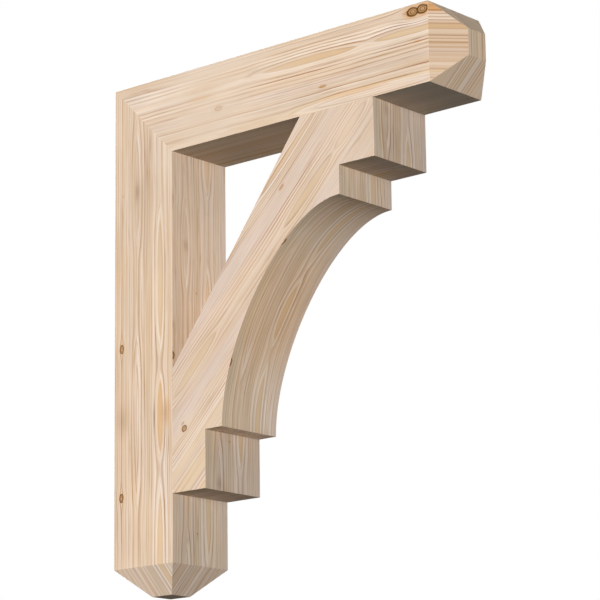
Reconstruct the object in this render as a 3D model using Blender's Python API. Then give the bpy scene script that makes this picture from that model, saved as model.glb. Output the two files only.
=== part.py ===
"""Timber eave bracket: a post and a beam mitred at their back corner, with a stepped and arched brace between them.

The bracket hangs on a wall. The origin is the middle of the post's wall face, -Y points away from the wall, +Z is up.
"""

import math

import bmesh
import bpy
from mathutils import Matrix, Vector

# Driving dimensions, in metres. All three timbers are as wide as each other, and flush at both sides.
WIDTH = 0.1397  # side to side
POST_DEPTH = 0.1397  # post, from its wall face to its front face
BEAM_HEIGHT = 0.1397  # beam, from its soffit face to its underside
PROJECTION = 0.762  # wall face to the beam's nose
HEIGHT = 0.9144  # soffit face to the post's tip

# The free ends of the post and the beam are drawn in on four sides to a small flat.
TAPER_LENGTH = 0.0466
TAPER_INSET = 0.0466

# Brace, measured from the post's front face and the beam's underside.
BRACE_REACH = 0.4572  # out to the upright face of the head
BRACE_DROP = 0.6096  # down to the underside of the foot
BACK_ALONG_BEAM = 0.2965  # where the straight back edge meets the beam
BACK_DOWN_POST = 0.3912  # where the straight back edge meets the post
HEAD_FACE = 0.1016  # height of the head's upright face
HEAD_LEDGE = 0.0762  # set back below it
ARCH_LIP = 0.0508  # height of the second upright face, above the arch
FOOT_FACE = 0.1016  # height of the foot's upright face
FOOT_LEDGE = 0.0762  # depth of the foot's underside
FOOT_STEP = 0.0381  # ledge on the foot, out to where the arch ends

# The arch is a cubic curve, level at its top and upright at its foot. Each handle is a share of the arch's run or
# rise: 0.552 on both would make it a quarter ellipse, and less makes it flatter in the middle.
ARCH_TOP_HANDLE = 0.465
ARCH_FOOT_HANDLE = 0.415
ARCH_STEPS = 40

JOINT_GAP = 0.0003  # glue line between neighbouring timbers

# The wall face is a plain rectangle from the mitre's outer corner down to the tapered tip.
SOFFIT_Z = (HEIGHT - TAPER_LENGTH) / 2

FIR_COLOURS = {
    "post": (0.73, 0.55, 0.40, 1),
    "beam": (0.75, 0.57, 0.42, 1),
    "brace": (0.72, 0.55, 0.41, 1),
}
FIR_ROUGHNESS = 0.62


def clear_scene():
    for obj in list(bpy.data.objects):
        bpy.data.objects.remove(obj)


def place(out, drop):
    """The (y, z) of a point so far out from the wall and so far down from the soffit."""
    return (-out, SOFFIT_Z - drop)


def fir(name):
    """Bare planed fir, as a plain material."""
    material = bpy.data.materials.new("fir_" + name)
    material.use_nodes = True
    shader = material.node_tree.nodes["Principled BSDF"]
    shader.inputs["Base Color"].default_value = FIR_COLOURS[name]
    shader.inputs["Roughness"].default_value = FIR_ROUGHNESS
    shader.inputs["Metallic"].default_value = 0.0
    return material


def add_object(name, data, collection):
    obj = bpy.data.objects.new(name, data)
    obj.data.materials.append(fir(name))
    collection.objects.link(obj)
    return obj


def squared_timber(near, far):
    """A square-edged timber that fills the box between two corners, given as (out, drop)."""
    (y_near, z_near), (y_far, z_far) = place(*near), place(*far)
    size = (WIDTH, abs(y_far - y_near), abs(z_far - z_near), 1)
    middle = Vector((0, (y_near + y_far) / 2, (z_near + z_far) / 2))
    bm = bmesh.new()
    bmesh.ops.create_cube(bm, size=1, matrix=Matrix.Translation(middle) @ Matrix.Diagonal(size))
    return bm


def taper_end(bm, outward):
    """Draws the end face that looks outward in on four sides, to a small flat TAPER_LENGTH further on."""
    bm.normal_update()
    end = max(bm.faces, key=lambda face: face.normal.dot(outward))
    bmesh.ops.inset_region(
        bm, faces=[end], use_boundary=True, use_even_offset=True, thickness=TAPER_INSET, depth=TAPER_LENGTH
    )


def cut_mitre(bm, waste):
    """Cuts the timber along the mitre, from the outer corner to the inner one, and drops the side that waste is on."""
    outer = Vector((0, *place(0, 0)))
    inner = Vector((0, *place(POST_DEPTH, BEAM_HEIGHT)))
    normal = (inner - outer).cross(Vector((1, 0, 0))).normalized()
    if normal.dot(waste) < 0:
        normal = -normal
    cut = bmesh.ops.bisect_plane(
        bm,
        geom=bm.verts[:] + bm.edges[:] + bm.faces[:],
        plane_co=outer - normal * JOINT_GAP / 2,
        plane_no=normal,
        clear_outer=True,
    )
    rim = [part for part in cut["geom_cut"] if isinstance(part, bmesh.types.BMEdge)]
    bmesh.ops.edgenet_fill(bm, edges=rim)
    bmesh.ops.recalc_face_normals(bm, faces=bm.faces)


def finished(bm, name, collection):
    mesh = bpy.data.meshes.new(name)
    bm.to_mesh(mesh)
    bm.free()
    return add_object(name, mesh, collection)


def make_post(collection):
    """The upright timber against the wall, mitred at the top and tapered at the bottom."""
    bm = squared_timber((0, 0), (POST_DEPTH, HEIGHT - TAPER_LENGTH))
    taper_end(bm, Vector((0, 0, -1)))
    cut_mitre(bm, waste=Vector((0, 0, 1)))
    return finished(bm, "post", collection)


def make_beam(collection):
    """The level timber under the soffit, mitred at the wall and tapered at its nose."""
    bm = squared_timber((0, 0), (PROJECTION - TAPER_LENGTH, BEAM_HEIGHT))
    taper_end(bm, Vector((0, -1, 0)))
    cut_mitre(bm, waste=Vector((0, 1, 0)))
    return finished(bm, "beam", collection)


def arch_points(top, foot):
    """The arch from its lip to the foot's ledge, as (out, drop): a cubic curve, level at top and upright at foot."""
    run, rise = top[0] - foot[0], foot[1] - top[1]
    controls = (
        Vector(top),
        Vector((top[0] - run * ARCH_TOP_HANDLE, top[1])),
        Vector((foot[0], foot[1] - rise * ARCH_FOOT_HANDLE)),
        Vector(foot),
    )
    points = []
    for step in range(ARCH_STEPS + 1):
        t = step / ARCH_STEPS
        weights = ((1 - t) ** 3, 3 * t * (1 - t) ** 2, 3 * t**2 * (1 - t), t**3)
        points.append(sum((c * w for c, w in zip(controls, weights)), Vector((0, 0))))
    return points


def brace_outline():
    """The brace's side outline as (out, drop), from the low end of its back edge round by the head and the arch."""
    post_face, underside = POST_DEPTH + JOINT_GAP, BEAM_HEIGHT + JOINT_GAP
    head_out = POST_DEPTH + BRACE_REACH
    lip_out = head_out - HEAD_LEDGE
    ledge_drop = BEAM_HEIGHT + HEAD_FACE
    foot_out = POST_DEPTH + FOOT_LEDGE
    foot_drop = BEAM_HEIGHT + BRACE_DROP
    foot_top_drop = foot_drop - FOOT_FACE
    return [
        (post_face, BEAM_HEIGHT + BACK_DOWN_POST),
        (POST_DEPTH + BACK_ALONG_BEAM, underside),
        (head_out, underside),
        (head_out, ledge_drop),
        (lip_out, ledge_drop),
        *arch_points((lip_out, ledge_drop + ARCH_LIP), (foot_out + FOOT_STEP, foot_top_drop)),
        (foot_out, foot_top_drop),
        (foot_out, foot_drop),
        (post_face, foot_drop),
    ]


def make_brace(collection):
    """The brace, sawn to its outline from one wide board: a flat outline in Y and Z, as thick as the timbers."""
    outline = brace_outline()
    curve = bpy.data.curves.new("brace", "CURVE")
    curve.dimensions = "2D"
    curve.fill_mode = "BOTH"
    curve.extrude = WIDTH / 2
    spline = curve.splines.new("POLY")
    spline.points.add(len(outline) - 1)
    for point, (out, drop) in zip(spline.points, outline):
        point.co = (*place(out, drop), 0, 1)
    spline.use_cyclic_u = True
    brace = add_object("brace", curve, collection)
    # The outline's own X and Y become the bracket's Y and Z.
    brace.rotation_euler = (math.pi / 2, 0, math.pi / 2)
    return brace


def main():
    clear_scene()
    collection = bpy.data.collections.new("timber_bracket")
    bpy.context.scene.collection.children.link(collection)
    make_post(collection)
    make_beam(collection)
    make_brace(collection)


main()
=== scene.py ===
"""Looks for the timber eave bracket: bare fir post, beam and brace, seen from the left, in front and below."""

import math

import bpy
import numpy as np
from mathutils import Matrix, Vector


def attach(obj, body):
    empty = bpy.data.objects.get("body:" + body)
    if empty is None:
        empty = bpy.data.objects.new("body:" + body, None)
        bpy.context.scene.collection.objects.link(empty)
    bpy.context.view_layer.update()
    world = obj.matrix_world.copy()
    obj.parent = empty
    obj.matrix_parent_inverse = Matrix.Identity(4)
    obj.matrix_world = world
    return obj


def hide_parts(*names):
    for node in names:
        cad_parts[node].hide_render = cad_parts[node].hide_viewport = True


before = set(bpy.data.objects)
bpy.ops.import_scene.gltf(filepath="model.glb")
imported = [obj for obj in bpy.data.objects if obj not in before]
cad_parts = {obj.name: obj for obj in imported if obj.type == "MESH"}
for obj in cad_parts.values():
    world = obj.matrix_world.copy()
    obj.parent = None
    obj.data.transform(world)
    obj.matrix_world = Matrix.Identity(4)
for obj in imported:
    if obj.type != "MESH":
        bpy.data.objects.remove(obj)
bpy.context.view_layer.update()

# Camera. It stands low at the bracket's left front corner and looks up at it. Its place is in the frame of the
# solids, and its lens is long, so the far sides shrink only a little.
CAMERA_PLACE = (-3.3805, -3.2677, -1.0742)
CAMERA_HEADING = math.radians(49.419)  # from +Y towards +X
CAMERA_RISE = math.radians(13.540)
CAMERA_TILT = math.radians(-0.755)
CAMERA_LENS = 161.57  # mm, on a 36 mm sensor

view_line = Vector((
    math.sin(CAMERA_HEADING) * math.cos(CAMERA_RISE),
    math.cos(CAMERA_HEADING) * math.cos(CAMERA_RISE),
    math.sin(CAMERA_RISE),
))
level_right = view_line.cross(Vector((0, 0, 1))).normalized()
level_up = level_right.cross(view_line)
camera_right = level_right * math.cos(CAMERA_TILT) + level_up * math.sin(CAMERA_TILT)
camera_up = level_up * math.cos(CAMERA_TILT) - level_right * math.sin(CAMERA_TILT)

camera_data = bpy.data.cameras.new("camera")
camera_data.lens = CAMERA_LENS
camera_data.sensor_width = 36
camera_data.clip_end = 200
camera = bpy.data.objects.new("camera", camera_data)
turn = Matrix((camera_right, camera_up, -view_line)).transposed()
camera.matrix_world = Matrix.Translation(CAMERA_PLACE) @ turn.to_4x4()
bpy.context.scene.collection.objects.link(camera)
bpy.context.scene.camera = camera

# Studio. A broad soft key comes almost level from the left front. Two weaker lights, from the right and from high
# behind, reach the sides that it misses, and the white surround gives only a little of its own.
SUN_ROUTES = {
    "key": dict(towards=(0.87, 0.462, 0.103), strength=3.63, spread=24, colour=(0.98, 1.0, 1.01)),
    "side": dict(towards=(-0.90, -0.22, -0.37), strength=1.35, spread=34, colour=(0.98, 1.0, 1.01)),
    "back": dict(towards=(-0.50, -0.62, -0.60), strength=2.3, spread=50, colour=(1.0, 0.99, 0.97)),
}
SURROUND_SEEN = (1.0, 1.0, 1.0)
SURROUND_GLOW = (0.070, 0.074, 0.080)

for name, sun in SUN_ROUTES.items():
    lamp = bpy.data.lights.new(name, "SUN")
    lamp.energy = sun["strength"]
    lamp.angle = math.radians(sun["spread"])
    lamp.color = sun["colour"]
    lamp_object = bpy.data.objects.new(name, lamp)
    lamp_object.rotation_euler = Vector(sun["towards"]).to_track_quat("-Z", "Y").to_euler()
    bpy.context.scene.collection.objects.link(lamp_object)

surround = bpy.data.worlds.new("surround")
surround.use_nodes = True
bpy.context.scene.world = surround
sky = surround.node_tree
sky.nodes.clear()
sky_out = sky.nodes.new("ShaderNodeOutputWorld")
sky_mix = sky.nodes.new("ShaderNodeMixShader")
sky_glow = sky.nodes.new("ShaderNodeBackground")
sky_seen = sky.nodes.new("ShaderNodeBackground")
sky_ray = sky.nodes.new("ShaderNodeLightPath")
sky_glow.inputs["Color"].default_value = (*SURROUND_GLOW, 1)
sky_seen.inputs["Color"].default_value = (*SURROUND_SEEN, 1)
sky.links.new(sky_ray.outputs["Is Camera Ray"], sky_mix.inputs["Fac"])
sky.links.new(sky_glow.outputs[0], sky_mix.inputs[1])
sky.links.new(sky_seen.outputs[0], sky_mix.inputs[2])
sky.links.new(sky_mix.outputs[0], sky_out.inputs["Surface"])

bpy.context.scene.view_settings.view_transform = "Standard"
bpy.context.scene.view_settings.look = "None"

# Floor. A plain pale studio floor well below the bracket, which hangs at about eye height. It glows a little to the
# camera, so that it stays pale where no light falls on it.
FLOOR_LEVEL = -2.1
FLOOR_REACH = 40.0
FLOOR_SEEN = (0.93, 0.925, 0.915)
FLOOR_COLOUR = (0.070, 0.070, 0.072)

floor_mesh = bpy.data.meshes.new("floor")
corner = np.array([[-1, -1], [1, -1], [1, 1], [-1, 1]]) * FLOOR_REACH
floor_mesh.from_pydata(np.c_[corner, np.full(4, FLOOR_LEVEL)].tolist(), [], [(0, 1, 2, 3)])
floor = bpy.data.objects.new("floor", floor_mesh)
bpy.context.scene.collection.objects.link(floor)
floor_paint = bpy.data.materials.new("floor_paint")
floor_paint.use_nodes = True
ground = floor_paint.node_tree
ground_shader = ground.nodes["Principled BSDF"]
ground_shader.inputs["Base Color"].default_value = (*FLOOR_COLOUR, 1)
ground_shader.inputs["Roughness"].default_value = 0.9
ground_seen = ground.nodes.new("ShaderNodeEmission")
ground_seen.inputs["Color"].default_value = (*FLOOR_SEEN, 1)
ground_mix = ground.nodes.new("ShaderNodeMixShader")
ground_ray = ground.nodes.new("ShaderNodeLightPath")
ground.links.new(ground_ray.outputs["Is Camera Ray"], ground_mix.inputs["Fac"])
ground.links.new(ground_shader.outputs[0], ground_mix.inputs[1])
ground.links.new(ground_seen.outputs[0], ground_mix.inputs[2])
ground.links.new(ground_mix.outputs[0], ground.nodes["Material Output"].inputs["Surface"])
floor_mesh.materials.append(floor_paint)
floor.visible_shadow = False  # the key comes in level, so half of it would stop at the floor's far edge


# Post. The upright against the wall: one length of bare fir, planed on four sides, mitred at the top to the beam and
# drawn in on four sides to a small flat at the bottom. Its figure is flat sawn: a row of long pointed eyes, with
# straight late-wood lines beside them, and a few tight knots.
WIDTH = 0.1397  # all three timbers, side to side
DEPTH = 0.1397  # wall face to front face
LENGTH = 0.9144  # soffit face to tip
TAPER = 0.0466  # how long each tapered end is, and how far it is drawn in
SOFFIT = (LENGTH - TAPER) / 2  # height of the soffit face above the origin
ARRIS = 0.0007  # the eased edge that sanding leaves


def place(across, out, drop):
    """Points in the frame: x across, y minus the distance out from the wall, z the soffit's height less the drop."""
    across, out, drop = np.broadcast_arrays(across, out, drop)
    return np.stack([across, -out, SOFFIT - drop], axis=-1)


def carried(name, rings):
    """A closed piece from a profile carried along a path. Rings is an array of rings of points. Point k of a ring is
    joined to point k of the next and to point k + 1 of its own, and the first and last rings are closed flat."""
    count, around = rings.shape[:2]
    ring, step = np.meshgrid(np.arange(count - 1), np.arange(around), indexing="ij")
    after = (step + 1) % around
    sides = np.stack([
        ring * around + step,
        ring * around + after,
        (ring + 1) * around + after,
        (ring + 1) * around + step,
    ], axis=-1).reshape(-1, 4)
    caps = [list(range(around))[::-1], list(range((count - 1) * around, count * around))]
    mesh = bpy.data.meshes.new(name)
    mesh.from_pydata(rings.reshape(-1, 3).tolist(), [], sides.tolist() + caps)
    if signed_volume(mesh) < 0:
        mesh.flip_normals()
    piece = bpy.data.objects.new(name, mesh)
    bpy.context.scene.collection.objects.link(piece)
    return piece


def signed_volume(mesh):
    """A sixth of the sum, over the mesh's triangles, of the box product of each one's corners: positive when the
    faces point outwards."""
    mesh.calc_loop_triangles()
    points = np.empty(len(mesh.vertices) * 3)
    mesh.vertices.foreach_get("co", points)
    corners = np.empty(len(mesh.loop_triangles) * 3, dtype=np.int32)
    mesh.loop_triangles.foreach_get("vertices", corners)
    a, b, c = points.reshape(-1, 3)[corners].reshape(-1, 3, 3).transpose(1, 0, 2)
    return float((a * np.cross(b, c)).sum()) / 6


def corners_of(mesh):
    """For every face corner of the mesh: its point, and the outward normal of its face."""
    points = np.empty(len(mesh.vertices) * 3)
    mesh.vertices.foreach_get("co", points)
    vertex = np.empty(len(mesh.loops), dtype=np.int32)
    mesh.loops.foreach_get("vertex_index", vertex)
    normals = np.empty(len(mesh.polygons) * 3)
    mesh.polygons.foreach_get("normal", normals)
    sizes = np.empty(len(mesh.polygons), dtype=np.int32)
    mesh.polygons.foreach_get("loop_total", sizes)
    return points.reshape(-1, 3)[vertex], np.repeat(normals.reshape(-1, 3), sizes, axis=0)


def lay_grain(piece, faces):
    """Gives every face corner its place on the sawn board, as an attribute: x is the distance from the heart line
    across the grain, y the distance along it, z the number of the face. Faces is a list of (which corners, heart
    distance, along), each worked out from the corners' points, and a face's number is its place in that list."""
    points, normals = corners_of(piece.data)
    grain = np.zeros((len(points), 3))
    for number, (chosen, heart, along) in enumerate(faces):
        pick = chosen(points, normals)
        grain[pick, 0] = np.broadcast_to(heart(points), len(points))[pick]
        grain[pick, 1] = np.broadcast_to(along(points), len(points))[pick]
        grain[pick, 2] = number
    layer = piece.data.attributes.new("grain", "FLOAT_VECTOR", "CORNER")
    layer.data.foreach_set("vector", grain.astype(np.float32).ravel())


def ease_edges(piece, keep_sharp):
    """Sands the edges with a Bevel, apart from those whose two ends keep_sharp picks, such as the rim of a joint."""
    mesh = piece.data
    points = np.empty(len(mesh.vertices) * 3)
    mesh.vertices.foreach_get("co", points)
    ends = np.empty(len(mesh.edges) * 2, dtype=np.int32)
    mesh.edges.foreach_get("vertices", ends)
    pair = points.reshape(-1, 3)[ends].reshape(-1, 2, 3)
    weight = np.where(keep_sharp(pair[:, 0], pair[:, 1]), 0.0, 1.0)
    layer = mesh.attributes.new("bevel_weight_edge", "FLOAT", "EDGE")
    layer.data.foreach_set("value", weight.astype(np.float32))
    mesh.shade_smooth()
    mesh.set_sharp_from_angle(angle=math.radians(25))
    bevel = piece.modifiers.new("sanded_edges", "BEVEL")
    bevel.width = ARRIS
    bevel.segments = 3
    bevel.limit_method = "WEIGHT"
    bevel.harden_normals = True


def out_of(points):
    return -points[:, 1]


def drop_of(points):
    return SOFFIT - points[:, 2]


def facing(axis, sign):
    """Picks the corners of the faces that look straight along one axis."""
    return lambda points, normals: normals[:, axis] * sign > 0.9


def sloping(axis, sign, other, way):
    """Picks the corners of the faces that look between two axes, such as those of a tapered end."""
    return lambda points, normals: (normals[:, axis] * sign > 0.5) & (normals[:, other] * way > 0.5)


half = WIDTH / 2
post_corners = np.array([[-half, 0], [half, 0], [half, DEPTH], [-half, DEPTH]])
post_tip = np.array([[-half + TAPER, TAPER], [half - TAPER, TAPER], [half - TAPER, DEPTH - TAPER],
                     [-half + TAPER, DEPTH - TAPER]])
post = carried("fir_post", np.stack([
    place(post_corners[:, 0], post_corners[:, 1], post_corners[:, 1]),
    place(post_corners[:, 0], post_corners[:, 1], LENGTH - TAPER),
    place(post_tip[:, 0], post_tip[:, 1], LENGTH),
]))

# The board's heart line runs 0.110 from the wall on the sides and 0.090 from the left edge on the front. The front
# shows the same figure, drawn closer together along the grain.
SIDE_HEART = 0.110
FRONT_HEART = 0.090
RIGHT_HEART = 0.052  # out from the wall, on the right side
BACK_HEART = -0.018  # across, on the wall face
FRONT_STRETCH = 0.70
FRONT_START = 0.312  # the drop on the front where the figure's dark eye sits
FIGURE_EYE = 0.200  # the same eye's place on the board


def post_side(points):
    return SIDE_HEART - out_of(points)


def post_front(points):
    return FRONT_HEART - (points[:, 0] + half)


def post_front_along(points):
    return (drop_of(points) - FRONT_START) / FRONT_STRETCH + FIGURE_EYE


def post_right(points):
    return out_of(points) - RIGHT_HEART


def post_right_along(points):
    return drop_of(points) + 0.23


def post_back(points):
    return points[:, 0] - BACK_HEART


def post_back_along(points):
    return 1.31 - drop_of(points)


lay_grain(post, [
    (facing(0, -1), post_side, drop_of),
    (facing(1, -1), post_front, post_front_along),
    (facing(0, 1), post_right, post_right_along),
    (facing(1, 1), post_back, post_back_along),
    (facing(2, -1), lambda p: p[:, 0] * 0.7 + 0.01, lambda p: out_of(p) * 0.3),
    (sloping(2, 1, 1, -1), lambda p: p[:, 0], out_of),
    (sloping(0, -1, 2, -1), post_side, drop_of),
    (sloping(1, -1, 2, -1), post_front, post_front_along),
    (sloping(0, 1, 2, -1), post_right, post_right_along),
    (sloping(1, 1, 2, -1), post_back, post_back_along),
])
ease_edges(post, lambda a, b: (drop_of(a) < DEPTH + 0.001) & (drop_of(b) < DEPTH + 0.001))


def put(tree, kind, **settings):
    """Adds a node with its own settings."""
    node = tree.nodes.new(kind)
    for key, value in settings.items():
        setattr(node, key, value)
    return node


def feed(tree, socket, value):
    """Links a socket to an input, or sets the input to a plain value."""
    if isinstance(value, bpy.types.NodeSocket):
        tree.links.new(value, socket)
    else:
        socket.default_value = value


def calc(tree, operation, *values, clamp=False):
    """One Math node on sockets or numbers."""
    node = put(tree, "ShaderNodeMath", operation=operation, use_clamp=clamp)
    for socket, value in zip(node.inputs, values):
        feed(tree, socket, value)
    return node.outputs[0]


def span(tree, value, low, high, to_low=0.0, to_high=1.0, smooth=False):
    """Maps a value from one range to another, held at the ends."""
    node = put(tree, "ShaderNodeMapRange", interpolation_type="SMOOTHSTEP" if smooth else "LINEAR")
    for socket, number in zip(node.inputs, (value, low, high, to_low, to_high)):
        feed(tree, socket, number)
    return node.outputs[0]


def blend(tree, kind, share, first, second):
    """Mixes two colours."""
    node = put(tree, "ShaderNodeMix", data_type="RGBA", blend_type=kind)
    feed(tree, node.inputs["Factor"], share)
    feed(tree, node.inputs["A"], first)
    feed(tree, node.inputs["B"], second)
    return node.outputs["Result"]


def speckle(tree, place_socket, detail=2.0, rough=0.5):
    """Noise from 0 to 1 at the place given. Detail is how many finer layers it has, and rough how strong they are."""
    node = put(tree, "ShaderNodeTexNoise", noise_dimensions="3D")
    feed(tree, node.inputs["Vector"], place_socket)
    node.inputs["Scale"].default_value = 1.0
    node.inputs["Detail"].default_value = detail
    node.inputs["Roughness"].default_value = rough
    return node.outputs["Fac"]


def triple(tree, x, y, z):
    """Three values as one vector."""
    node = put(tree, "ShaderNodeCombineXYZ")
    for socket, value in zip(node.inputs, (x, y, z)):
        feed(tree, socket, value)
    return node.outputs[0]


def start_group(name, inputs, outputs):
    """A shader node group with named sockets. Inputs and outputs are (name, kind, default) and (name, kind)."""
    tree = bpy.data.node_groups.new(name, "ShaderNodeTree")
    kinds = {"value": "NodeSocketFloat", "colour": "NodeSocketColor", "vector": "NodeSocketVector"}
    for label, kind, default in inputs:
        socket = tree.interface.new_socket(name=label, in_out="INPUT", socket_type=kinds[kind])
        socket.default_value = default
    for label, kind in outputs:
        tree.interface.new_socket(name=label, in_out="OUTPUT", socket_type=kinds[kind])
    entry = tree.nodes.new("NodeGroupInput")
    result = tree.nodes.new("NodeGroupOutput")
    return tree, entry.outputs, result.inputs


def use(tree, group, **values):
    """Places a group in a material. A socket's name is given with low lines for its spaces."""
    node = put(tree, "ShaderNodeGroup", node_tree=group)
    for key, value in values.items():
        feed(tree, node.inputs[key.replace("_", " ")], value)
    return node.outputs


# Eye: how far along a row of eyes a place is from the nearest eye, as the square of its distance over half the eye's
# length, so that 0 is the middle of an eye and 1 its point.
eye_group, given, gives = start_group(
    "fir eye",
    [("Along", "value", 0.0), ("Nearest", "value", 9.0), ("Middle", "value", 0.0), ("Half Length", "value", 0.1)],
    [("Nearest", "value")],
)
eye_gap = calc(eye_group, "SUBTRACT", given["Along"], given["Middle"])
eye_gap = calc(eye_group, "DIVIDE", eye_gap, given["Half Length"])
eye_square = calc(eye_group, "MULTIPLY", eye_gap, eye_gap)
feed(eye_group, gives["Nearest"], calc(eye_group, "SMOOTH_MIN", given["Nearest"], eye_square, 0.5))

# Heart: pulls the rings in towards a row of eyes between them, and lets them part round each eye. The pull is the
# core's half width times the eye distance, and it fades with the distance from the row. The lines are calmer between
# two eyes, where they close up.
heart_group, given, gives = start_group(
    "fir heart",
    [("Across", "value", 0.0), ("Row", "value", 0.0), ("Nearest", "value", 1.0), ("Core", "value", 0.008),
     ("Reach", "value", 0.0115), ("Most", "value", 1.25)],
    [("Shift", "value"), ("Calm", "value")],
)
heart_side = calc(heart_group, "SUBTRACT", given["Across"], given["Row"])
heart_far = calc(heart_group, "ABSOLUTE", heart_side)
heart_fade = calc(heart_group, "EXPONENT", calc(heart_group, "DIVIDE", heart_far, calc(
    heart_group, "MULTIPLY", given["Reach"], -1.0)))
heart_pull = calc(heart_group, "MULTIPLY", calc(
    heart_group, "SMOOTH_MIN", given["Nearest"], given["Most"], 0.4), given["Core"])
feed(heart_group, gives["Shift"], calc(
    heart_group, "MULTIPLY", calc(heart_group, "MULTIPLY", heart_pull, heart_fade),
    calc(heart_group, "SIGN", heart_side)))
feed(heart_group, gives["Calm"], calc(heart_group, "SUBTRACT", 1.0, calc(
    heart_group, "MULTIPLY", heart_fade, span(heart_group, given["Nearest"], 0.7, 1.25, 0.0, 0.7, smooth=True))))

# Knot: pushes the rings apart round a knot, and adds its dark rings and its warm halo to those of the knots before.
knot_group, given, gives = start_group(
    "fir knot",
    [("Grain", "vector", (0, 0, 0)), ("Shift", "value", 0.0), ("Dark", "value", 0.0), ("Warm", "value", 0.0),
     ("Centre", "vector", (0, 0, 0)), ("Half Width", "value", 0.004), ("Half Length", "value", 0.006),
     ("Strength", "value", 1.0), ("Halo", "value", 0.5)],
    [("Shift", "value"), ("Dark", "value"), ("Warm", "value")],
)
knot_gap = put(knot_group, "ShaderNodeVectorMath", operation="SUBTRACT")
feed(knot_group, knot_gap.inputs[0], given["Grain"])
feed(knot_group, knot_gap.inputs[1], given["Centre"])
knot_parts = put(knot_group, "ShaderNodeSeparateXYZ")
feed(knot_group, knot_parts.inputs[0], knot_gap.outputs[0])
knot_x = calc(knot_group, "DIVIDE", knot_parts.outputs[0], given["Half Width"])
knot_y = calc(knot_group, "DIVIDE", knot_parts.outputs[1], given["Half Length"])
knot_z = calc(knot_group, "MULTIPLY", knot_parts.outputs[2], 40.0)
knot_ragged = put(knot_group, "ShaderNodeTexNoise", noise_dimensions="3D")
feed(knot_group, knot_ragged.inputs["Vector"], triple(knot_group, knot_x, knot_y, knot_parts.outputs[2]))
knot_ragged.inputs["Scale"].default_value = 0.9
knot_far = put(knot_group, "ShaderNodeVectorMath", operation="LENGTH")
feed(knot_group, knot_far.inputs[0], triple(knot_group, knot_x, knot_y, knot_z))
knot_round = calc(knot_group, "ADD", knot_far.outputs["Value"], calc(
    knot_group, "MULTIPLY", calc(knot_group, "SUBTRACT", knot_ragged.outputs["Fac"], 0.5), 0.5))
knot_rings = put(knot_group, "ShaderNodeValToRGB")
knot_rings.color_ramp.elements[0].position = 0.0
knot_rings.color_ramp.elements[0].color = (0.62, 0.62, 0.62, 1)
knot_rings.color_ramp.elements[1].position = 1.0
knot_rings.color_ramp.elements[1].color = (0, 0, 0, 1)
for spot, shade in ((0.05, 0.45), (0.09, 0.20), (0.15, 0.24), (0.21, 0.82), (0.26, 0.80), (0.31, 0.30), (0.36, 0.34),
                    (0.41, 0.98), (0.52, 0.98), (0.565, 0.25), (0.62, 0.0)):
    knot_rings.color_ramp.elements.new(spot).color = (shade, shade, shade, 1)
feed(knot_group, knot_rings.inputs["Fac"], calc(knot_group, "MULTIPLY", knot_round, 0.5))
knot_dark = calc(knot_group, "MULTIPLY", knot_rings.outputs["Color"], given["Strength"])
feed(knot_group, gives["Dark"], calc(knot_group, "MAXIMUM", given["Dark"], knot_dark))
knot_halo = calc(knot_group, "MULTIPLY", span(knot_group, knot_round, 0.7, 2.3, 1.0, 0.0, smooth=True), given["Halo"])
knot_fill = calc(knot_group, "MULTIPLY", span(knot_group, knot_round, 0.9, 1.2, 0.9, 0.0), given["Strength"])
feed(knot_group, gives["Warm"], calc(knot_group, "MAXIMUM", given["Warm"], calc(
    knot_group, "MAXIMUM", knot_fill, knot_halo)))
knot_fade = calc(knot_group, "EXPONENT", calc(knot_group, "MULTIPLY", calc(
    knot_group, "MULTIPLY", knot_far.outputs["Value"], knot_far.outputs["Value"]), -0.16))
knot_push = calc(knot_group, "MULTIPLY", calc(knot_group, "MULTIPLY", given["Half Width"], span(
    knot_group, given["Strength"], 0.0, 0.3, 0.0, -0.9)), knot_fade)
knot_push = calc(knot_group, "MULTIPLY", knot_push, calc(knot_group, "SIGN", knot_parts.outputs[0]))
feed(knot_group, gives["Shift"], calc(knot_group, "ADD", given["Shift"], knot_push))

# Stain and shade: a soft darker cloud, added to the clouds before it. It gives stains in the wood, and also broad
# clouds of painted shade.
stain_and_shade_group, given, gives = start_group(
    "fir stain",
    [("Grain", "vector", (0, 0, 0)), ("Stain", "value", 0.0), ("Centre", "vector", (0, 0, 0)),
     ("Half Width", "value", 0.02), ("Half Length", "value", 0.05), ("Strength", "value", 0.3)],
    [("Stain", "value")],
)
darkening_gap = put(stain_and_shade_group, "ShaderNodeVectorMath", operation="SUBTRACT")
feed(stain_and_shade_group, darkening_gap.inputs[0], given["Grain"])
feed(stain_and_shade_group, darkening_gap.inputs[1], given["Centre"])
darkening_parts = put(stain_and_shade_group, "ShaderNodeSeparateXYZ")
feed(stain_and_shade_group, darkening_parts.inputs[0], darkening_gap.outputs[0])
darkening_far = put(stain_and_shade_group, "ShaderNodeVectorMath", operation="DOT_PRODUCT")
darkening_spread = triple(
    stain_and_shade_group,
    calc(stain_and_shade_group, "DIVIDE", darkening_parts.outputs[0], given["Half Width"]),
    calc(stain_and_shade_group, "DIVIDE", darkening_parts.outputs[1], given["Half Length"]),
    calc(stain_and_shade_group, "MULTIPLY", darkening_parts.outputs[2], 40.0),
)
feed(stain_and_shade_group, darkening_far.inputs[0], darkening_spread)
feed(stain_and_shade_group, darkening_far.inputs[1], darkening_spread)
darkening_cloud = calc(stain_and_shade_group, "EXPONENT", calc(stain_and_shade_group, "MULTIPLY", darkening_far.outputs["Value"], -1.0))
feed(stain_and_shade_group, gives["Stain"], calc(
    stain_and_shade_group, "ADD", given["Stain"], calc(stain_and_shade_group, "MULTIPLY", darkening_cloud, given["Strength"])))


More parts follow.
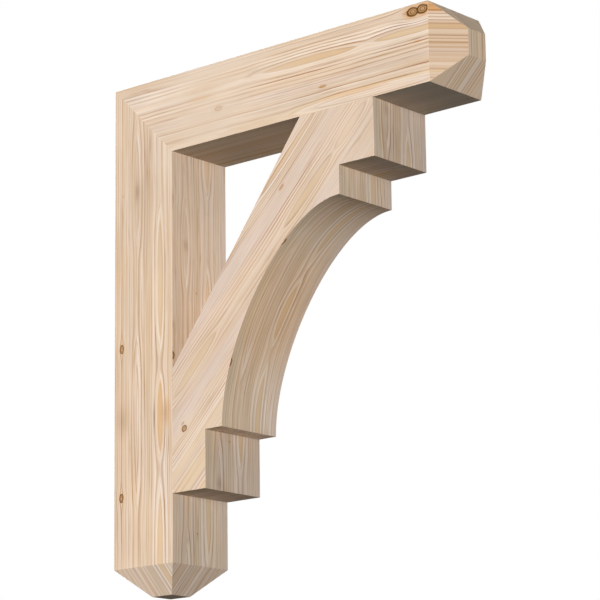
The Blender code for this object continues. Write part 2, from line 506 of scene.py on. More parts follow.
def streaks(tree, given, across, along, turn=1.0, start=0.0, detail=2.0, rough=0.5):
    """Noise drawn out along the grain. Across and along are how often it changes in a metre, and each face shows
    another part of it: its number times turn, plus start."""
    return speckle(tree, triple(
        tree,
        calc(tree, "MULTIPLY", given["Across"], across),
        calc(tree, "MULTIPLY", given["Along"], along),
        calc(tree, "MULTIPLY_ADD", given["Face"], turn, start)), detail, rough)


# Drift: the slow wander of the grain, in metres across it.
drift_group, given, gives = start_group(
    "fir drift",
    [("Across", "value", 0.0), ("Along", "value", 0.0), ("Face", "value", 0.0), ("Wander", "value", 0.003)],
    [("Shift", "value")],
)
drift_slow = streaks(drift_group, given, 9.0, 4.0, turn=7.3, detail=1.0)
drift_fine = streaks(drift_group, given, 60.0, 22.0, turn=5.1, start=3.0)
drift_sum = calc(
    drift_group, "ADD", calc(drift_group, "SUBTRACT", drift_slow, 0.5),
    calc(drift_group, "MULTIPLY", calc(drift_group, "SUBTRACT", drift_fine, 0.5), 0.22))
drift_wide = calc(drift_group, "MULTIPLY", drift_sum, 2.0)
feed(drift_group, gives["Shift"], calc(drift_group, "MULTIPLY", drift_wide, given["Wander"]))

# Figure: the finished wood. Late-wood lines are given by the lines next below and next above a place, so that each
# keeps its own width: soft towards the heart and sharp away from it. They come and go along the board. The early wood
# between two close lines is pale, fine streaks lie over all of it, and knots, halos, stains and broad clouds of painted
# shade go over them.
figure_group, given, gives = start_group(
    "fir figure",
    [("Tint", "colour", (0.7, 0.5, 0.4, 1)), ("Below", "value", 0.0), ("Above", "value", 0.0),
     ("Below Strength", "value", 0.5), ("Above Strength", "value", 0.5),
     ("Across", "value", 0.0), ("Along", "value", 0.0), ("Face", "value", 0.0), ("Dark", "value", 0.0),
     ("Warm", "value", 0.0), ("Stain", "value", 0.0), ("Contrast", "value", 1.0), ("Fineness", "value", 1.0)],
    [("Colour", "colour"), ("Roughness", "value"), ("Height", "value")],
)
RED_LINE_TINT = (0.54, 0.355, 0.250, 1)
OCHRE_LINE_TINT = (0.60, 0.43, 0.25, 1)
HAIR_TINT = (0.70, 0.56, 0.43, 1)
GLEAM_TINT = (1.08, 1.13, 1.21, 1)
RING_TINT = (0.89, 0.80, 0.70, 1)
EARLY_TINT = (1.12, 1.16, 1.20, 1)
FINE_TINT = (0.90, 0.82, 0.72, 1)
BLUSH_TINT = (0.980, 0.940, 0.875, 1)
HALO_TINT = (0.97, 0.72, 0.44, 1)
KNOT_TINT = (0.130, 0.056, 0.012, 1)
STAIN_AND_SHADE_TINT = (0.60, 0.52, 0.44, 1)
LINE_SOFT = 0.0011  # metres over which a line fades towards the heart
LINE_SHARP = 0.00045  # and away from it
RING_PITCH = 0.0042  # metres from one faint ring to the next
tree = figure_group

# The late-wood lines.
outwards = calc(tree, "SIGN", given["Across"])
line = 0.0
for side in ("Below", "Above"):
    beyond = calc(tree, "MULTIPLY", calc(tree, "SUBTRACT", given["Across"], given[side]), outwards)
    soft = calc(tree, "DIVIDE", calc(tree, "MINIMUM", beyond, 0.0), LINE_SOFT)
    sharp = calc(tree, "DIVIDE", calc(tree, "MAXIMUM", beyond, 0.0), -LINE_SHARP)
    ridge = calc(tree, "EXPONENT", calc(tree, "ADD", soft, sharp))
    come_and_go = speckle(tree, triple(
        tree, calc(tree, "MULTIPLY", given[side], 331.0), calc(tree, "MULTIPLY", given["Along"], 6.0),
        given["Face"]))
    strength = calc(tree, "MULTIPLY", given[side + " Strength"], span(tree, come_and_go, 0.34, 0.60, 0.30, 1.15))
    line = calc(tree, "MAXIMUM", line, calc(tree, "MULTIPLY", ridge, strength))
line = calc(tree, "MULTIPLY", line, given["Contrast"], clamp=True)

# The early wood: most halfway between two lines, none where they are more than 9.5 mm apart.
ring_gap = calc(tree, "SUBTRACT", given["Above"], given["Below"])
ring_part = calc(tree, "DIVIDE", calc(tree, "SUBTRACT", given["Across"], given["Below"]), ring_gap, clamp=True)
early = calc(tree, "MULTIPLY", ring_part, calc(tree, "SUBTRACT", 1.0, ring_part))
early = calc(tree, "MULTIPLY", early, span(tree, ring_gap, 0.0045, 0.0095, 4.0, 0.0))
early = calc(tree, "MULTIPLY", early, calc(tree, "MINIMUM", given["Below Strength"], given["Above Strength"]))
early = calc(tree, "MULTIPLY", early, given["Contrast"], clamp=True)

# The faint lines between the strong ones, and where on the face they fade out.
fine = span(tree, streaks(tree, given, 400.0, 8.0, detail=2.5, rough=0.6), 0.45, 0.72)
fade = streaks(tree, given, 26.0, 6.0)
fine = calc(tree, "MULTIPLY", fine, span(tree, fade, 0.40, 0.64, 0.25, 1.0))
beside_heart = span(tree, calc(tree, "ABSOLUTE", given["Across"]), 0.005, 0.010, 0.25, 1.0)
detail_share = calc(tree, "MULTIPLY", given["Fineness"], beside_heart)
colour = blend(tree, "MULTIPLY", calc(tree, "MULTIPLY", fine, detail_share), given["Tint"], FINE_TINT)

# Hairs and gleams: thin dark and pale lines along two levels of one noise.
hair_level = streaks(tree, given, 230.0, 3.0, turn=6.3, start=2.0, detail=1.0)
hair = span(tree, calc(tree, "ABSOLUTE", calc(tree, "SUBTRACT", hair_level, 0.5)), 0.0, 0.035, 1.0, 0.0)
hair = calc(tree, "MULTIPLY", hair, span(tree, fade, 0.38, 0.64, 0.05, 0.75))
colour = blend(tree, "MULTIPLY", calc(tree, "MULTIPLY", hair, detail_share), colour, HAIR_TINT)
gleam = span(tree, calc(tree, "ABSOLUTE", calc(tree, "SUBTRACT", hair_level, 0.61)), 0.0, 0.035, 1.0, 0.0)
gleam = calc(tree, "MULTIPLY", gleam, span(tree, fade, 0.38, 0.64, 0.10, 0.80))
colour = blend(tree, "MULTIPLY", calc(tree, "MULTIPLY", gleam, detail_share), colour, GLEAM_TINT)

# Faint even rings, and the pale early wood over them.
ring_warp = calc(tree, "MULTIPLY", streaks(tree, given, 40.0, 1.5, detail=1.0), 14.0)
ring_wave = calc(tree, "SINE", calc(tree, "MULTIPLY_ADD", given["Across"], 2 * math.pi / RING_PITCH, ring_warp))
ring_wave = calc(tree, "MULTIPLY_ADD", ring_wave, 0.5, 0.5)
ring_share = calc(tree, "MULTIPLY", ring_wave, span(tree, fade, 0.36, 0.60, 0.85, 0.25))
colour = blend(tree, "MULTIPLY", calc(tree, "MULTIPLY", ring_share, detail_share), colour, RING_TINT)
colour = blend(tree, "MULTIPLY", early, colour, EARLY_TINT)

# The late-wood lines, some redder and some more ochre.
line_hue = streaks(tree, given, 75.0, 2.0, detail=0.0)
line_tint = blend(tree, "MIX", span(tree, line_hue, 0.40, 0.60), RED_LINE_TINT, OCHRE_LINE_TINT)
colour = blend(tree, "MULTIPLY", line, colour, line_tint)

# Over everything: a warm blush, the single fibres, broad clouds, halos, stains with clouds of painted shade, and knots.
blush = streaks(tree, given, 34.0, 3.5, turn=3.9, start=4.0)
colour = blend(tree, "MULTIPLY", span(tree, blush, 0.38, 0.66), colour, BLUSH_TINT)
fibre = streaks(tree, given, 2400.0, 60.0, detail=1.0)
cloud = streaks(tree, given, 22.0, 7.0, turn=2.7, start=9.0, detail=3.0)
shade = calc(tree, "ADD", span(tree, fibre, 0.25, 0.75, 0.982, 1.018), span(tree, cloud, 0.3, 0.7, -0.040, 0.062))
shading = put(tree, "ShaderNodeVectorMath", operation="SCALE")
feed(tree, shading.inputs[0], colour)
feed(tree, shading.inputs["Scale"], shade)
colour = blend(tree, "MULTIPLY", given["Warm"], shading.outputs[0], HALO_TINT)
# Stains in the wood, and broad clouds of painted shade, darken and warm the colour.
colour = blend(tree, "MULTIPLY", calc(tree, "MINIMUM", given["Stain"], 1.0), colour, STAIN_AND_SHADE_TINT)
colour = blend(tree, "MIX", given["Dark"], colour, KNOT_TINT)
feed(tree, gives["Colour"], colour)
knot_polish = calc(tree, "MULTIPLY", given["Dark"], 0.12)
feed(tree, gives["Roughness"], calc(tree, "SUBTRACT", span(tree, fibre, 0.2, 0.8, 0.68, 0.78), knot_polish))
knot_rise = calc(tree, "MULTIPLY", given["Dark"], 0.5)
fibre_rise = calc(tree, "MULTIPLY", fibre, 0.35)
line_rise = calc(tree, "MULTIPLY", line, 0.6)
feed(tree, gives["Height"], calc(tree, "ADD", line_rise, calc(tree, "ADD", fibre_rise, knot_rise)))

# Tints of the bare wood.
CREAM = (0.780, 0.626, 0.494)
PALE = (0.840, 0.708, 0.600)
MILK = (0.868, 0.724, 0.592)
PINK = (0.762, 0.620, 0.522)
YELLOW = (0.812, 0.645, 0.462)
OLIVE = (0.715, 0.565, 0.412)
HONEY = (0.765, 0.590, 0.440)
GOLD = (0.748, 0.545, 0.352)


WANDER = 0.003  # metres that the grain drifts to either side
MOST_FACES = 16  # steps in the ramp of face tints, which also paint light and shade
NO_EYE = 9.0  # the eye distance that a row starts from, far beyond any eye


def course(tree, along, levels):
    """A value that goes from the first level to the second by 0.2 m along the board, and to the third by 0.45 m."""
    start = span(tree, along, 0.10, 0.20, levels[0] - levels[1], 0.0)
    return calc(tree, "ADD", start, span(tree, along, 0.25, 0.45, levels[1], levels[2]))


def fir(name, rings, bands, rows, knots, face_tints_and_shading, contrast, stains_and_shade=(), fineness=(1, 1, 1), evenness=(0, 0, 0)):
    """Fir with a given figure, on the piece's grain attribute. All distances across the grain are in mm from the
    heart, and places along it in metres.
    Rings: (distance, strength of the line there), at most 33. Bands: (distance, tint), at most 32.
    Rows: (distance of a row of eyes, core, how far the rings close between eyes, list of (middle, half length)).
    Knots: (face, across, along, half width in mm, half length in mm, strength, halo).
    Stains and shade: (face, across, along, half width in mm, half length in mm, strength), for stains in the wood and
    for broad clouds of painted shade.
    The face tints give each face in turn a colour of its own, which also paints light and shade on whole faces: painted
    shade darkens the undersides, and painted light makes some faces, such as fronts and the brace's arch, lighter and
    cooler. Contrast is the strength of the lines, fineness that of the faint lines between them, and evenness how far
    the bands blend into one tint, each as the levels of a course."""
    material = bpy.data.materials.new(name)
    material.use_nodes = True
    tree = material.node_tree
    shader = tree.nodes["Principled BSDF"]
    grain = put(tree, "ShaderNodeAttribute", attribute_name="grain").outputs["Vector"]
    parts = put(tree, "ShaderNodeSeparateXYZ")
    feed(tree, parts.inputs[0], grain)
    across, along, face = parts.outputs
    shift = use(tree, drift_group, Across=across, Along=along, Face=face, Wander=WANDER)["Shift"]
    dark = warm = stain_and_shade = 0.0
    for number, at, where, wide, long, strong, halo in knots:
        last = use(tree, knot_group, Grain=grain, Shift=shift, Dark=dark, Warm=warm,
                   Centre=(at / 1000, where, number), Half_Width=wide / 1000, Half_Length=long / 1000,
                   Strength=strong, Halo=halo)
        shift, dark, warm = last["Shift"], last["Dark"], last["Warm"]
    for number, at, where, wide, long, strong in stains_and_shade:
        stain_and_shade = use(tree, stain_and_shade_group, Grain=grain, Stain=stain_and_shade, Centre=(at / 1000, where, number),
                    Half_Width=wide / 1000, Half_Length=long / 1000, Strength=strong)["Stain"]
    bent = calc(tree, "ADD", across, shift)
    settled = bent
    calm = 1.0
    for row, core, most, eyes in rows:
        nearest = NO_EYE
        for middle, half_length in eyes:
            nearest = use(tree, eye_group, Along=along, Nearest=nearest, Middle=middle,
                          Half_Length=half_length)["Nearest"]
        heart = use(tree, heart_group, Across=bent, Row=row / 1000, Nearest=nearest, Core=core / 1000, Most=most)
        settled = calc(tree, "ADD", settled, heart["Shift"])
        calm = calc(tree, "MULTIPLY", calm, heart["Calm"])

    # One ramp holds, from each ring to the next, both rings' places and strengths. Another holds the bands.
    low, high = rings[0][0] / 1000, rings[-1][0] / 1000
    share = span(tree, settled, low, high)
    lines = [
        (start, (start / 1000 - low, end / 1000 - low, start_strength, end_strength))
        for (start, start_strength), (end, end_strength) in zip(rings, rings[1:])
    ]
    tints = [(at, (*colour, 1)) for at, colour in bands]
    near = put(tree, "ShaderNodeValToRGB")
    near.color_ramp.interpolation = "CONSTANT"
    tint = put(tree, "ShaderNodeValToRGB")
    for ramp, stops in ((near, lines), (tint, tints)):
        feed(tree, ramp.inputs["Fac"], share)
        for number, (at, colour) in enumerate(stops):
            spot = min(max((at / 1000 - low) / (high - low), 0), 1)
            kept = ramp.color_ramp.elements
            stop = kept[number] if number < 2 else kept.new(spot)
            stop.position = spot
            stop.color = colour
    ring = put(tree, "ShaderNodeSeparateColor")
    feed(tree, ring.inputs[0], near.outputs["Color"])
    # The face tints: a colour for each face, which also paints shade on the undersides and light on some other faces.
    face_tint_and_shading_ramp = put(tree, "ShaderNodeValToRGB")
    face_tint_and_shading_ramp.color_ramp.interpolation = "CONSTANT"
    feed(tree, face_tint_and_shading_ramp.inputs["Fac"], calc(tree, "DIVIDE", calc(tree, "ADD", face, 0.5), MOST_FACES))
    for number, colour in enumerate(face_tints_and_shading):
        kept = face_tint_and_shading_ramp.color_ramp.elements
        stop = kept[number] if number < 2 else kept.new(number / MOST_FACES)
        stop.position = number / MOST_FACES
        stop.color = (*colour, 1)
    even = blend(tree, "MIX", course(tree, along, evenness), tint.outputs["Color"], (*CREAM, 1))
    wood = blend(tree, "MULTIPLY", 1.0, even, face_tint_and_shading_ramp.outputs["Color"])
    figure = use(
        tree, figure_group, Tint=wood, Across=settled, Along=along, Face=face,
        Below=calc(tree, "ADD", ring.outputs[0], low), Below_Strength=ring.outputs[2],
        Above=calc(tree, "ADD", ring.outputs[1], low), Above_Strength=near.outputs["Alpha"],
        Contrast=calc(tree, "MULTIPLY", course(tree, along, contrast), calm),
        Fineness=course(tree, along, fineness), Dark=dark, Warm=warm, Stain=stain_and_shade)
    bump = put(tree, "ShaderNodeBump")
    bump.inputs["Strength"].default_value = 0.25
    bump.inputs["Distance"].default_value = 0.0004
    feed(tree, bump.inputs["Height"], figure["Height"])
    feed(tree, shader.inputs["Base Color"], figure["Colour"])
    feed(tree, shader.inputs["Roughness"], figure["Roughness"])
    feed(tree, shader.inputs["Normal"], bump.outputs["Normal"])
    shader.inputs["Specular IOR Level"].default_value = 0.12
    return material


FIGURED_RINGS = [
    (-60, 0.3), (-52, 0.4), (-45, 0.2), (-38, 0.5), (-31, 0.3), (-25, 0.15), (-20.5, 0.4), (-12.5, 0.9), (-6.3, 0.35),
    (6, 0.3), (13, 0.75), (21, 0.45), (26.5, 0.3), (31.5, 0.35), (37, 0.8), (44, 0.85), (51.5, 0.6), (57, 0.3),
    (62, 0.35), (68.5, 0.7), (76, 0.35), (82, 0.3), (92.5, 0.7), (98, 0.2), (103, 0.6), (108, 0.5), (114, 0.4),
]
FIGURED_BANDS = [
    (-55, CREAM), (-42, PINK), (-33, CREAM), (-26, CREAM), (-21, HONEY), (-17, PALE), (-14, CREAM), (-9, PALE),
    (-6.5, GOLD), (0, GOLD), (4.8, GOLD), (7.5, MILK), (11, CREAM), (17, PALE), (20, HONEY), (31, OLIVE),
    (35, CREAM), (39, CREAM), (43, HONEY), (48, PALE), (54, HONEY), (60, CREAM), (67, HONEY), (74, CREAM),
    (82, HONEY), (90, HONEY), (97, CREAM), (104, HONEY), (112, HONEY),
]
FIGURED_ROWS = [
    (0, 6.5, 1.7, [(-0.05, 0.08), (0.366, 0.106), (0.611, 0.062), (0.856, 0.106), (1.30, 0.12)]),
    (55, 9, 1.15, [(0.190, 0.115), (0.611, 0.145), (1.032, 0.115)]),
]
post_fir = fir(
    "post_fir", FIGURED_RINGS, FIGURED_BANDS, FIGURED_ROWS,
    knots=[
        (0, 92.5, 0.479, 4.6, 7.4, 0.85, 0.35), (0, 92.5, 0.744, 4.6, 7.4, 0.95, 0.35),
        (0, 90, 0.200, 1.2, 2.4, 0.30, 0.2), (1, 89, 0.479, 4.2, 8.5, 0.95, 0.3), (1, 28, 0.307, 1.4, 2.4, 0.45, 0.1),
        (1, 28, 0.915, 1.4, 2.4, 0.45, 0.1), (2, 40, 0.690, 5.0, 8.0, 0.75, 0.5), (3, -20, 0.860, 4.0, 7.0, 0.6, 0.4),
        (0, -16, 0.606, 4.5, 17, 0.0, 0.55), (0, 0, 0.611, 4.5, 40, 0.0, 0.48),
    ],
    stains_and_shade=[
        (0, 55, 0.198, 5, 17, 0.55), (0, 42, 0.190, 32, 95, 0.28), (0, 30, 0.280, 70, 130, 0.12),
        (0, 90, 0.608, 15, 26, 0.42), (0, 14, 0.611, 2.2, 26, 1.1), (0, 23, 0.115, 2.0, 28, 0.7),
        (0, -12, 0.603, 12, 16, 0.26),
        (1, 55, 0.190, 6, 16, 0.55), (1, 52, 0.935, 4, 10, 0.30), (1, 24, 0.120, 2.4, 38, 0.45),
    ],
    # Face tints, in the order of the faces above, with painted light and shade: the small flat at the bottom is painted
    # darker as shade, the front lighter and cooler as light, and the left side and the tip's left and front tapers a
    # little cooler.
    face_tints_and_shading=[
        (1.01, 1.02, 1.04), (1.04, 1.09, 1.15), (1, 1, 1), (1, 1, 1), (0.60, 0.60, 0.62), (1, 1, 1),
        (0.97, 1.0, 1.07), (0.98, 0.99, 1.03), (1, 1, 1), (1, 1, 1),
    ],
    contrast=(0.95, 0.95, 1.2),
    fineness=(1.0, 0.9, 1.15),
    evenness=(0.15, 0.2, 0),
)
post.data.materials.append(post_fir)
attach(post, "root")
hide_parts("post")


# Beam. The level timber under the soffit, planed fir of the same section, mitred to the post at the wall and drawn in
# on four sides to a small flat at its nose. Two dark knots, grown together, lie by the top edge near the nose.
PROJECTION = 0.762  # wall face to nose

beam_corners = np.array([[-half, 0], [-half, DEPTH], [half, DEPTH], [half, 0]])
beam_nose = np.array([[-half + TAPER, TAPER], [-half + TAPER, DEPTH - TAPER], [half - TAPER, DEPTH - TAPER],
                      [half - TAPER, TAPER]])
beam = carried("fir_beam", np.stack([
    place(beam_corners[:, 0], beam_corners[:, 1], beam_corners[:, 1]),
    place(beam_corners[:, 0], PROJECTION - TAPER, beam_corners[:, 1]),
    place(beam_nose[:, 0], PROJECTION, beam_nose[:, 1]),
]))

BEAM_HEART = 0.045  # below the soffit face, on the left side
BEAM_RIGHT_HEART = 0.072  # and on the right side, where the board is turned end for end
BOARD_END = 1.15
NOSE_START = PROJECTION - TAPER
NOSE_PLACE = 0.365  # where on the board the nose's own faces lie


def beam_side(points):
    return drop_of(points) - BEAM_HEART


def beam_right(points):
    return BEAM_RIGHT_HEART - drop_of(points)


lay_grain(beam, [
    (facing(0, -1), beam_side, out_of),
    (facing(2, -1), lambda p: p[:, 0] + 0.030, lambda p: 0.40 - out_of(p) * 0.2),
    (facing(0, 1), beam_right, lambda p: BOARD_END - out_of(p)),
    (facing(2, 1), lambda p: p[:, 0] + 0.012, lambda p: out_of(p) + 0.62),
    (facing(1, -1), lambda p: p[:, 0], lambda p: NOSE_PLACE),
    (sloping(1, 1, 2, -1), lambda p: p[:, 0], out_of),
    (sloping(0, -1, 1, -1), beam_side, lambda p: NOSE_START),
    (sloping(1, -1, 2, -1), lambda p: p[:, 0], lambda p: NOSE_PLACE),
    (sloping(1, -1, 2, 1), lambda p: p[:, 0] + 0.03, lambda p: NOSE_PLACE),
    (sloping(0, 1, 1, -1), beam_right, lambda p: BOARD_END - NOSE_START),
])
ease_edges(beam, lambda a, b: (out_of(a) < DEPTH + 0.001) & (out_of(b) < DEPTH + 0.001))

PLAIN_RINGS = [
    (-50, 0.4), (-43, 0.4), (-38, 0.35), (-28, 0.8), (-22.5, 0.9), (-17, 0.8), (-11.5, 1.0), (-6.5, 0.5), (5, 0.3),
    (16, 0.95), (21.5, 1.0), (28, 1.0), (36, 0.6), (44, 0.35), (49, 0.25), (60.5, 0.9), (66.5, 0.25), (72.5, 0.9),
    (80, 0.25), (92, 0.4), (100, 0.3), (106, 0.3),
]
PLAIN_BANDS = [
    (-48, YELLOW), (-40, CREAM), (-30, CREAM), (-25, PALE), (-13, PALE), (-11, CREAM), (-7, CREAM), (-5.5, GOLD),
    (4, GOLD), (6.5, PALE), (9.5, MILK), (13, PALE), (18, CREAM), (33, CREAM), (46, PINK), (54, CREAM), (59, HONEY),
    (62, PALE), (71, CREAM), (75, YELLOW), (79, PALE), (93, PALE), (104, YELLOW),
]
beam_fir = fir(
    "beam_fir", PLAIN_RINGS, PLAIN_BANDS,
    [
        (-1, 6.5, 1.7, [(0.460, 0.110), (0.680, 0.084), (1.10, 0.12)]),
        (86, 5, 2.4, [(0.600, 0.125), (1.00, 0.12)]),
    ],
    knots=[
        (0, -32, 0.6838, 7.4, 11.4, 1.0, 1.0), (0, -32.5, 0.7040, 7.4, 11.4, 1.0, 1.0),
        (0, 53, 0.488, 1.9, 6.5, 0.50, 0.8), (0, 40, 0.251, 4.2, 8.0, 0.22, 0.2), (2, 30, 0.520, 5.0, 8.0, 0.7, 0.5),
        (3, 34, 1.050, 4.0, 7.0, 0.6, 0.4), (6, -33, 0.7154, 4.5, 30, 0.0, 1.3), (0, 13, 0.207, 2.2, 18, 0.0, 0.35),
        (0, 21, 0.692, 1.3, 7, 0.0, 0.7), (0, 77, 0.545, 3.5, 45, 0.0, 0.35),
    ],
    # The second cloud, broad over the whole underside between the post and the brace, is painted shade, darker and
    # warmer.
    stains_and_shade=[(0, 16, 0.690, 1.8, 12, 0.5), (1, 0, 0.340, 90, 55, 0.16)],
    # Face tints, in the order of the faces above, with painted light and shade: the underside is painted darker as
    # shade, and the nose's lower and right chamfers lighter as light. The nose's flat end is warmer, and its left and
    # top chamfers darker and warmer.
    face_tints_and_shading=[
        (0.985, 0.98, 0.98), (0.63, 0.655, 0.66), (1, 1, 1), (1, 1, 1), (1.0, 0.965, 0.88), (1, 1, 1),
        (0.81, 0.755, 0.695), (1.10, 1.08, 1.05), (0.76, 0.69, 0.56), (1.12, 1.06, 0.98),
    ],
    contrast=(0.95, 0.35, 1.3),
    fineness=(0.8, 0.35, 1.0),
    evenness=(0.3, 0.8, 0),
)
beam.data.materials.append(beam_fir)
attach(beam, "root")
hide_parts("beam")


# Brace. One thick piece, band sawn to its outline and sanded, set between the post and the beam. Its grain runs down
# at 45 degrees. It has a straight back edge, a stepped head, a hollow arch and a stepped foot.
BACK_TOP = (0.4362, 0.1397)  # (out, drop) where the back edge meets the beam
BACK_FOOT = (0.1397, 0.5309)  # where it meets the post
HEAD_OUT = 0.5969
LEDGE_DROP = 0.2413
LIP_OUT = 0.5207
ARCH_TOP = (0.5207, 0.2921)
ARCH_FOOT = (0.2540, 0.6477)
FOOT_OUT = 0.2159
FOOT_DROP = 0.7493
ARCH_TOP_HANDLE = 0.465  # share of the run over which the curve leaves its level top
ARCH_FOOT_HANDLE = 0.415  # share of the rise over which it comes to its upright foot
ARCH_STEPS = 96

# The arch is the cubic curve with weights (1-t)^3, 3t(1-t)^2, 3t^2(1-t) and t^3 on its four control points.
t = np.linspace(0, 1, ARCH_STEPS + 1)[:, None]
arch_run = ARCH_TOP[0] - ARCH_FOOT[0]
arch_rise = ARCH_FOOT[1] - ARCH_TOP[1]
arch_points = (
    (1 - t) ** 3 * np.array(ARCH_TOP)
    + 3 * t * (1 - t) ** 2 * np.array([ARCH_TOP[0] - ARCH_TOP_HANDLE * arch_run, ARCH_TOP[1]])
    + 3 * t**2 * (1 - t) * np.array([ARCH_FOOT[0], ARCH_FOOT[1] - ARCH_FOOT_HANDLE * arch_rise])
    + t**3 * np.array(ARCH_FOOT)
)
outline = np.vstack([
    [BACK_FOOT, BACK_TOP, (HEAD_OUT, BACK_TOP[1]), (HEAD_OUT, LEDGE_DROP), (LIP_OUT, LEDGE_DROP)],
    arch_points,
    [(FOOT_OUT, ARCH_FOOT[1]), (FOOT_OUT, FOOT_DROP), (BACK_FOOT[0], FOOT_DROP)],
])
brace = carried("fir_brace", np.stack([
    place(-half, outline[:, 0], outline[:, 1]),
    place(half, outline[:, 0], outline[:, 1]),
]))

# Length along the arch at each of its points.
arch_lengths = np.r_[0, np.cumsum(np.linalg.norm(np.diff(arch_points, axis=0), axis=1))]


def across_brace(points):
    """Distance across the grain of the brace's sides, from the heart line towards the inner corner of the bracket."""
    return 0.106 - ((out_of(points) - BACK_TOP[0]) + (drop_of(points) - BACK_TOP[1])) / math.sqrt(2)


def along_brace(points):
    """Distance down the grain of the brace's sides, which runs at 45 degrees, from above the head."""
    return 0.12 + ((drop_of(points) - BACK_TOP[1]) - (out_of(points) - BACK_TOP[0])) / math.sqrt(2)


def along_arch(points):
    """Length along the arch, from its lip down to its foot."""
    return np.interp(drop_of(points), arch_points[:, 1], arch_lengths)


def on_front(low, high, out):
    """Picks the corners of an upright face of the brace, between two drops and at one distance out."""
    def picked(points, normals):
        drop = drop_of(points)
        level = (drop > low - 1e-4) & (drop < high + 1e-4) & (np.abs(out_of(points) - out) < 1e-4)
        return level & (normals[:, 1] < -0.99)
    return picked


def on_arch(points, normals):
    """Picks the corners of the arch's hollow face."""
    drop, out = drop_of(points), out_of(points)
    inside = (drop > ARCH_TOP[1] - 1e-4) & (drop < ARCH_FOOT[1] + 1e-4) & (out > ARCH_FOOT[0] - 1e-4)
    return inside & (np.abs(normals[:, 0]) < 0.5) & ((normals[:, 1] > -0.9999) | (out < LIP_OUT - 0.02))


lay_grain(brace, [
    (facing(0, -1), across_brace, along_brace),
    (facing(0, 1), lambda p: across_brace(p) + 0.031, lambda p: 1.14 - along_brace(p)),
    (facing(2, -1), post_front, lambda p: out_of(p) + 0.1),
    (facing(2, 1), post_front, lambda p: out_of(p) + 0.3),
    (facing(1, 1), post_front, lambda p: drop_of(p) + 0.5),
    (sloping(1, 1, 2, 1), post_front, lambda p: along_brace(p) + 0.23),
    (on_front(BACK_TOP[1], LEDGE_DROP, HEAD_OUT), post_front, lambda p: (drop_of(p) - 0.153) / 0.7 + FIGURE_EYE),
    (on_front(LEDGE_DROP, ARCH_TOP[1], LIP_OUT), post_front, lambda p: (drop_of(p) - 0.267) / 0.7 + 0.370),
    (on_arch, post_front, lambda p: (along_arch(p) - 0.262) / 0.82 + 0.611),
    (on_front(ARCH_FOOT[1], FOOT_DROP, FOOT_OUT), post_front, lambda p: (drop_of(p) - 0.738) / 0.7 + 1.022),
])


def on_joint(points):
    """Picks the points on the beam's underside or the post's front face."""
    return (drop_of(points) < BACK_TOP[1] + 1e-4) | (out_of(points) < BACK_FOOT[0] + 1e-4)


def within_arch(points):
    """Picks the points of the arch between its two ends."""
    low, high = ARCH_TOP[1] + 1e-4, ARCH_FOOT[1] - 1e-4
    return (drop_of(points) > low) & (drop_of(points) < high) & (out_of(points) > BACK_FOOT[0] + 1e-4)


def keep_brace_sharp(a, b):
    """Picks the rims of the two joints, and the lines across the arch between its steps."""
    square = np.abs(out_of(a) - out_of(b)) * np.abs(drop_of(a) - drop_of(b)) < 1e-6
    along_side = np.abs(a[:, 0] - b[:, 0]) < 1e-6
    rim = on_joint(a) & on_joint(b) & along_side & square
    return rim | (within_arch(a) & within_arch(b) & ~along_side)


ease_edges(brace, keep_brace_sharp)

CHEEK_RINGS = [
    (-166, 0.6), (-159, 0.9), (-152, 0.9), (-144, 0.8), (-129, 0.6), (-119, 0.6), (-111, 0.6), (-92, 0.6),
    (-84, 0.6), (-79, 0.9), (-74, 0.8), (-69, 0.7), (-64, 0.5), (-30, 0.15), (-18.5, 0.70), (-13, 0.4), (-8, 0.6),
    (8, 0.6), (13, 0.4), (18.5, 0.8), (24, 0.9), (29, 0.8), (45, 0.15), (62, 0.7), (66, 0.9), (69.5, 0.7), (73, 0.8),
    (78.5, 0.8), (87.5, 0.8), (93, 0.5), (100, 0.3), (108, 0.2),
]
CHEEK_BANDS = [
    (-162, YELLOW), (-148, PINK), (-138, YELLOW), (-120, YELLOW), (-108, CREAM), (-95, YELLOW), (-88, PALE),
    (-72, CREAM), (-58, CREAM), (-45, PINK), (-26, PINK), (-16, CREAM), (-9, CREAM), (-7, OLIVE), (0, GOLD), (7, OLIVE),
    (9, CREAM), (21, CREAM), (32, PINK), (56, PINK), (68, CREAM), (75, PALE), (78, CREAM), (80, GOLD), (86, GOLD),
    (88, CREAM), (92, PALE), (106, PALE),
]
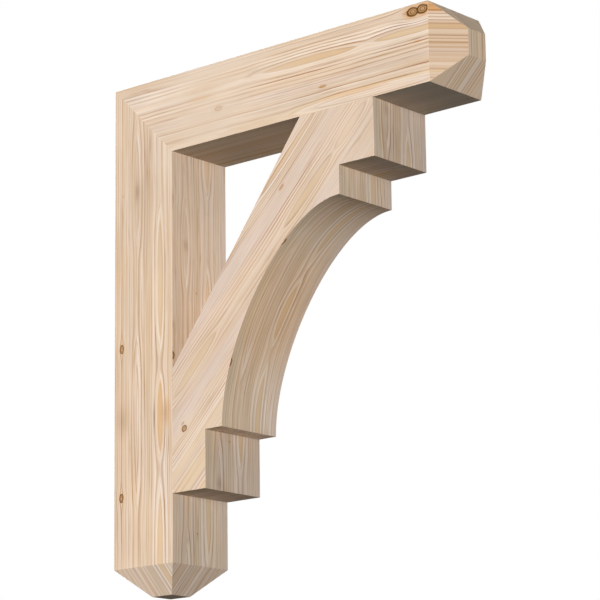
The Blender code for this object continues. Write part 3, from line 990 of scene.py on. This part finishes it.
cheek_fir = fir(
    "brace_cheek_fir", CHEEK_RINGS, CHEEK_BANDS,
    [
        (0, 8, 1.2, [(0.0685, 0.049), (0.2025, 0.076), (0.570, 0.070), (0.94, 0.10)]),
        (83, 5, 1.2, [(0.180, 0.090), (0.44, 0.06)]),
    ],
    knots=[
        (0, 54, 0.232, 1.9, 5.5, 0.50, 0.7), (0, -58, 0.664, 5.0, 5.8, 0.85, 0.2),
        (0, -49, 0.660, 1.6, 3.6, 0.45, 0.2), (1, -40, 0.620, 5.0, 7.0, 0.7, 0.5),
    ],
    face_tints_and_shading=[(0.965, 0.955, 0.965), (1, 1, 1)],
    contrast=(0.8, 1.25, 0.85),
    fineness=(0.8, 0.8, 0.8),
    evenness=(0.6, 0, 0),
)
EDGE_BANDS = [band for band in FIGURED_BANDS if band[0] < 70]
EDGE_BANDS += [(70, YELLOW), (78, OLIVE), (90, OLIVE), (104, CREAM)]
edge_fir = fir(
    "brace_edge_fir", FIGURED_RINGS, EDGE_BANDS, FIGURED_ROWS,
    knots=[
        (6, 28, 0.307, 1.4, 2.4, 0.0, 0.0), (8, 90, 0.462, 4.0, 8.0, 0.9, 0.3), (8, 90, 0.740, 4.0, 8.0, 0.9, 0.3),
        (8, 20, 0.605, 100, 85, 0.0, 0.32), (9, 28, 0.913, 1.4, 2.4, 0.45, 0.1),
    ],
    stains_and_shade=[
        (6, 55, 0.2, 6, 16, 0.5), (9, 55, 1.022, 6, 16, 0.5), (8, 14, 0.611, 1.6, 26, 0.5),
        # The last cloud, broad over the whole top of the arch, where it turns to face down, is painted shade.
        (8, 20, 0.290, 100, 110, 0.50),
    ],
    # Face tints, in the order of the faces above, with painted light and shade: the faces that look down, under the
    # head's step and under the foot, are painted darker as shade, and the lip's front and the arch lighter and cooler
    # as light. The fronts of the head and the foot are a little cooler.
    face_tints_and_shading=[
        (1, 1, 1), (1, 1, 1), (0.70, 0.71, 0.73), (1, 1, 1), (1, 1, 1), (1, 1, 1), (0.97, 1.0, 1.06),
        (1.04, 1.08, 1.13), (1.13, 1.15, 1.18), (0.96, 0.98, 1.02),
    ],
    contrast=(0.95, 1.1, 1.0),
    fineness=(1.0, 1.05, 1.05),
)
brace.data.materials.append(cheek_fir)
brace.data.materials.append(edge_fir)
face_normals = np.empty(len(brace.data.polygons) * 3)
brace.data.polygons.foreach_get("normal", face_normals)
is_edge = np.abs(face_normals.reshape(-1, 3)[:, 0]) < 0.5
brace.data.polygons.foreach_set("material_index", is_edge.astype(np.int32))
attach(brace, "root")
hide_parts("brace")
